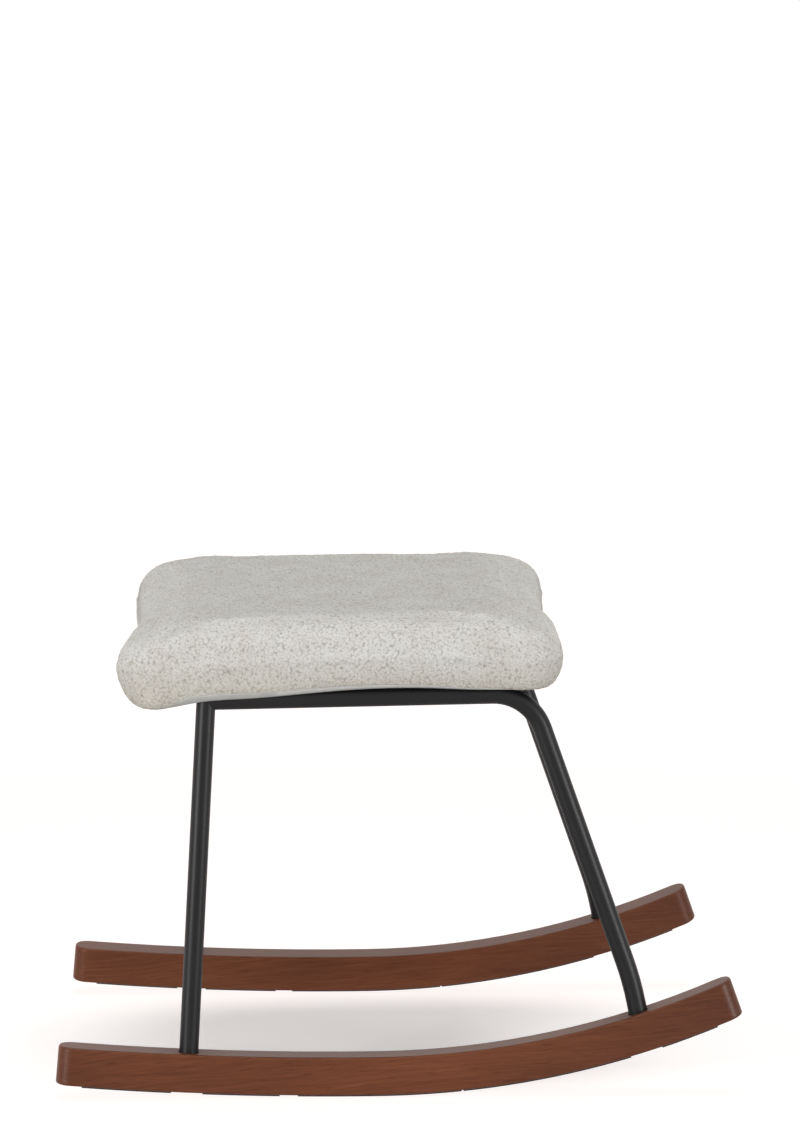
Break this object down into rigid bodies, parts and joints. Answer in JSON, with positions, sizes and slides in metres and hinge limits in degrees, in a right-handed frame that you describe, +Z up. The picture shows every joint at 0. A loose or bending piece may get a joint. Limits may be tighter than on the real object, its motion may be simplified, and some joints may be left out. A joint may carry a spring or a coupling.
{
  "type": "rocking footstool",
  "caption": "Footstool on curved wooden rockers: a bent black tube frame carries a square, crowned, boucle-covered cushion to rest the feet on.",
  "frame": {"origin": "on the floor, under the middle of the stool's overall length and width", "axes": "+Z up, +X along the rockers towards their upturned toe ends, +Y across to the left rocker"},
  "size_m": [0.5706, 0.4026, 0.4077],
  "materials": {
    "rocker_wood": "reddish-brown stained hardwood, satin lacquer",
    "glide_strip": "thin dark felt-faced rubber strip, matt",
    "frame_steel": "black satin powder coat",
    "cap_plastic": "black moulded plastic",
    "plug_steel": "bare steel",
    "fastener_steel": "zinc plated",
    "staple_steel": "galvanised wire",
    "board_plywood": "birch plywood, untreated",
    "foam": "cut polyurethane foam",
    "wadding": "polyester wadding",
    "boucle_fabric": "cream boucle, looped and knotted",
    "band_fabric": "smooth grey woven fabric",
    "dust_cover_fabric": "black non-woven"
  },
  "bodies": {
    "root": {"right_rocker": "rocker_wood", "right_heel_end_glide_strip": "glide_strip", "right_heel_glide_strip": "glide_strip", "right_middle_glide_strip": "glide_strip", "right_toe_glide_strip": "glide_strip", "right_toe_end_glide_strip": "glide_strip", "right_side_tube": "frame_steel", "right_heel_leg": "frame_steel", "right_heel_leg_cap": "cap_plastic", "right_heel_foot_plug": "plug_steel", "right_heel_seat_tab": "frame_steel", "right_toe_foot_plug": "plug_steel", "right_toe_seat_tab": "frame_steel", "left_rocker": "rocker_wood", "left_heel_end_glide_strip": "glide_strip", "left_heel_glide_strip": "glide_strip", "left_middle_glide_strip": "glide_strip", "left_toe_glide_strip": "glide_strip", "left_toe_end_glide_strip": "glide_strip", "left_side_tube": "frame_steel", "left_heel_leg": "frame_steel", "left_heel_leg_cap": "cap_plastic", "left_heel_foot_plug": "plug_steel", "left_heel_seat_tab": "frame_steel", "left_toe_foot_plug": "plug_steel", "left_toe_seat_tab": "frame_steel", "heel_cross_tube": "frame_steel", "toe_cross_tube": "frame_steel", "rocker_bolts": "fastener_steel", "rocker_washers": "fastener_steel", "seat_bolts": "fastener_steel", "seat_washers": "fastener_steel", "seat_tee_nuts": "fastener_steel", "cover_staples": "staple_steel", "seat_board": "board_plywood", "seat_foam": "foam", "wadding_wrap": "wadding", "cushion_cover": "boucle_fabric", "under_band": "band_fabric", "dust_cover": "dust_cover_fabric"}
  },
  "joints": []
}
